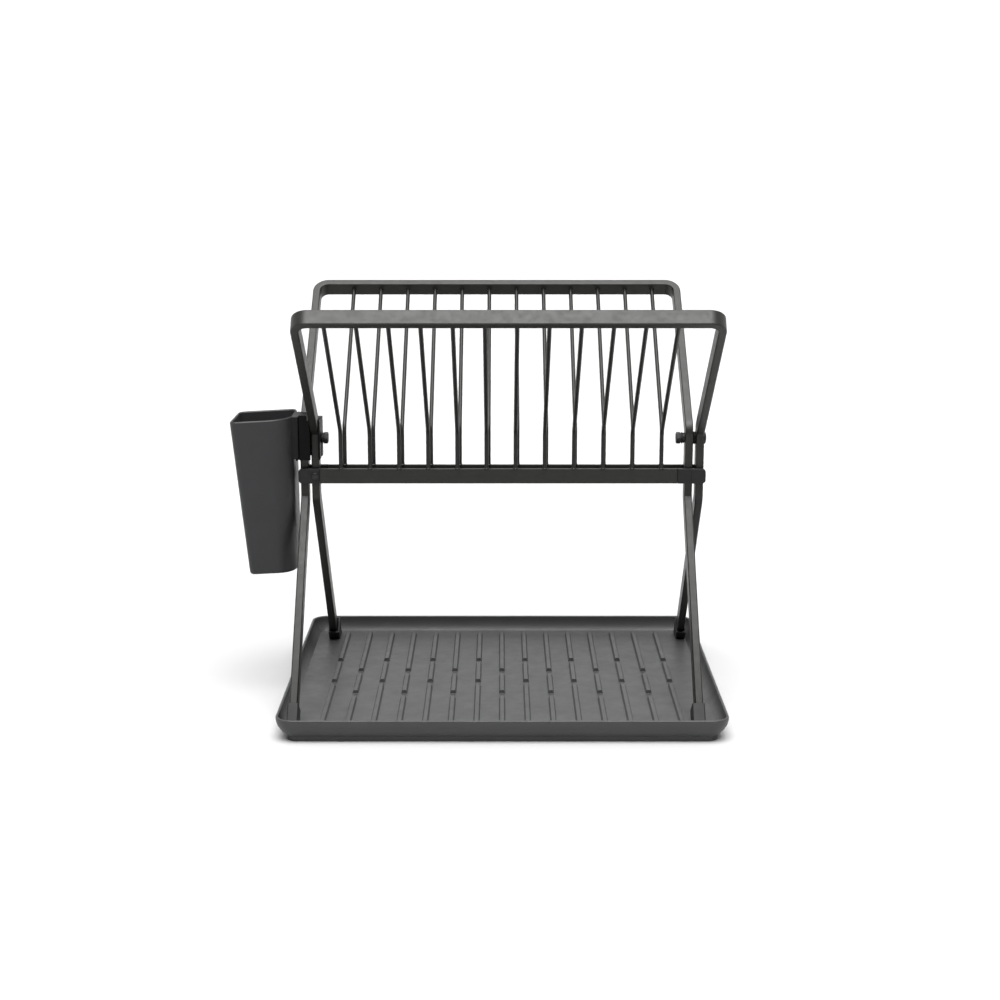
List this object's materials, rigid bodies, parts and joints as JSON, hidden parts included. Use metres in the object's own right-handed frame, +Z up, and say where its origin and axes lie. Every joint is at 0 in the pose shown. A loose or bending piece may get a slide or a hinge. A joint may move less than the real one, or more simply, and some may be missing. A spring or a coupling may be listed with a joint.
{
  "type": "folding drying rack",
  "caption": "Folding X-frame drying rack with rod slots for plates, a ribbed drip tray under it and a tapered utensil cup clipped to one side.",
  "frame": {"origin": "centre of the tray's flat underside, on the crossing of its stiffening bands, where the rack rests on a worktop", "axes": "+X to the right along the rack bars, with the utensil cup on the -X side; +Y to the back; +Z up"},
  "size_m": [0.4632, 0.342, 0.3882],
  "materials": {
    "tray_plastic": "matte",
    "cup_plastic": "matte",
    "frame_coating": "satin",
    "rod_coating": "satin",
    "fasteners": "satin",
    "black_plastic": "matte"
  },
  "bodies": {
    "tray": {"drip_tray": "tray_plastic"},
    "pivots": {"left_pivot_bolt": "fasteners", "left_pivot_spacer": "black_plastic", "left_pivot_knob": "black_plastic", "right_pivot_bolt": "fasteners", "right_pivot_spacer": "black_plastic", "right_pivot_knob": "black_plastic", "right_pivot_washer": "fasteners"},
    "front_frame": {"front_frame_bar": "frame_coating", "front_shelf_bar": "frame_coating", "front_shelf_block_left": "black_plastic", "front_shelf_block_right": "black_plastic", "front_shelf_rivet": "fasteners", "front_shelf_pin": "fasteners", "front_foot_left": "black_plastic", "front_foot_right": "black_plastic", "front_rod_01": "rod_coating", "front_rod_02": "rod_coating", "front_rod_03": "rod_coating", "front_rod_04": "rod_coating", "front_rod_05": "rod_coating", "front_rod_06": "rod_coating", "front_rod_07": "rod_coating", "front_rod_08": "rod_coating", "front_rod_09": "rod_coating", "front_rod_10": "rod_coating", "front_rod_11": "rod_coating", "front_rod_12": "rod_coating"},
    "rear_frame": {"rear_frame_bar": "frame_coating", "rear_shelf_bar": "frame_coating", "rear_shelf_block_left": "black_plastic", "rear_shelf_block_right": "black_plastic", "rear_shelf_rivet": "fasteners", "rear_shelf_pin": "fasteners", "rear_foot_left": "black_plastic", "rear_foot_right": "black_plastic", "rear_rod_01": "rod_coating", "rear_rod_02": "rod_coating", "rear_rod_03": "rod_coating", "rear_rod_04": "rod_coating", "rear_rod_05": "rod_coating", "rear_rod_06": "rod_coating", "rear_rod_07": "rod_coating", "rear_rod_08": "rod_coating", "rear_rod_09": "rod_coating", "rear_rod_10": "rod_coating", "rear_rod_11": "rod_coating", "rear_rod_12": "rod_coating"},
    "bracket": {"holder_bracket": "black_plastic"},
    "cup": {"utensil_cup": "cup_plastic"}
  },
  "joints": [
    {"name": "fold_front", "type": "hinge", "parent": "pivots", "child": "front_frame", "pos_m": [0, 0, 0.249], "axis": [-1, 0, 0], "range_deg": [0, 38]},
    {"name": "fold_rear", "type": "hinge", "parent": "pivots", "child": "rear_frame", "pos_m": [0, 0, 0.249], "axis": [1, 0, 0], "range_deg": [0, 38]},
    {"name": "rack_lift", "type": "slide", "parent": "tray", "child": "pivots", "axis": [0, 0, 1], "range_m": [0, 0.1095]},
    {"name": "bracket_lift", "type": "slide", "parent": "pivots", "child": "bracket", "axis": [0, 0, 1], "range_m": [0, 0.08]},
    {"name": "cup_lift", "type": "slide", "parent": "bracket", "child": "cup", "axis": [0, 0, 1], "range_m": [0, 0.05]}
  ],
  "couplings": [
    {"joint": "fold_rear", "follows": "fold_front", "ratio": 1},
    {"joint": "rack_lift", "follows": "fold_front", "m_per_rad": 0.165},
    {"joint": "bracket_lift", "follows": "fold_front", "m_per_rad": 0.12}
  ]
}
